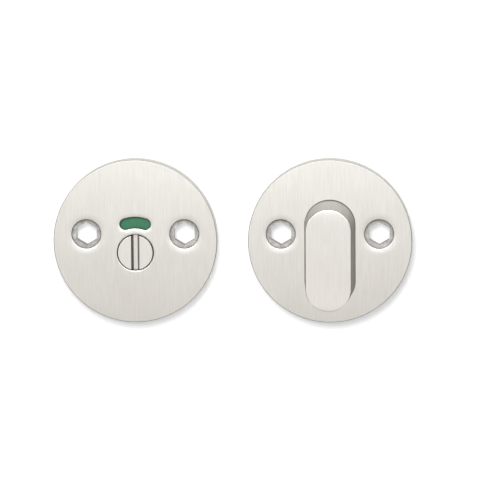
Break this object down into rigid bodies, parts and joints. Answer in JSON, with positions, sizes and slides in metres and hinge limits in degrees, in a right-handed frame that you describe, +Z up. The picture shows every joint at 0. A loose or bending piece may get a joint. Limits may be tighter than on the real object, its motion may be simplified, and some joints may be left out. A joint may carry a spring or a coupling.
{
  "type": "bathroom thumb turn lock",
  "caption": "Bathroom lock set in brushed stainless steel: an inside rose with a tall thumb turn and an outside rose with a coin release and an indicator window.",
  "frame": {"origin": "where the thumb turn's spindle axis meets the back of the inside rose", "axes": "+X to the right as the lock is faced, +Y into the door along the spindle, +Z up the door"},
  "size_m": [0.1095, 0.0794, 0.05],
  "materials": {
    "brushed_stainless": "satin, brushed upright",
    "acetal": "natural acetal, turned",
    "spring_steel": "dark phosphated",
    "zinc_plated_steel": "bright zinc plate",
    "indicator_enamel": "satin enamel, green and red quarters",
    "rivet_brass": "plain"
  },
  "bodies": {
    "roses": {"inside_rose": "brushed_stainless", "turn_bush": "acetal", "turn_click_spring": "spring_steel", "turn_spring_washer": "spring_steel", "outside_rose": "brushed_stainless", "release_spring_washer": "spring_steel", "release_retainer": "zinc_plated_steel", "release_snap_ring": "spring_steel"},
    "turn": {"thumb_turn": "brushed_stainless", "turn_thrust_washer": "zinc_plated_steel", "turn_circlip": "spring_steel", "spindle": "zinc_plated_steel", "spindle_pin": "spring_steel"},
    "release": {"coin_release": "brushed_stainless", "indicator_disc": "indicator_enamel", "indicator_rivets": "rivet_brass"}
  },
  "joints": [
    {"name": "thumb_quarter_turn", "type": "hinge", "parent": "roses", "child": "turn", "pos_m": [0, 0, 0], "axis": [0, 1, 0], "range_deg": [-90, 90], "deforming": ["turn_click_spring"]},
    {"name": "release_quarter_turn", "type": "hinge", "parent": "roses", "child": "release", "pos_m": [-0.0595, 0, 0], "axis": [0, 1, 0], "range_deg": [-90, 90]}
  ]
}
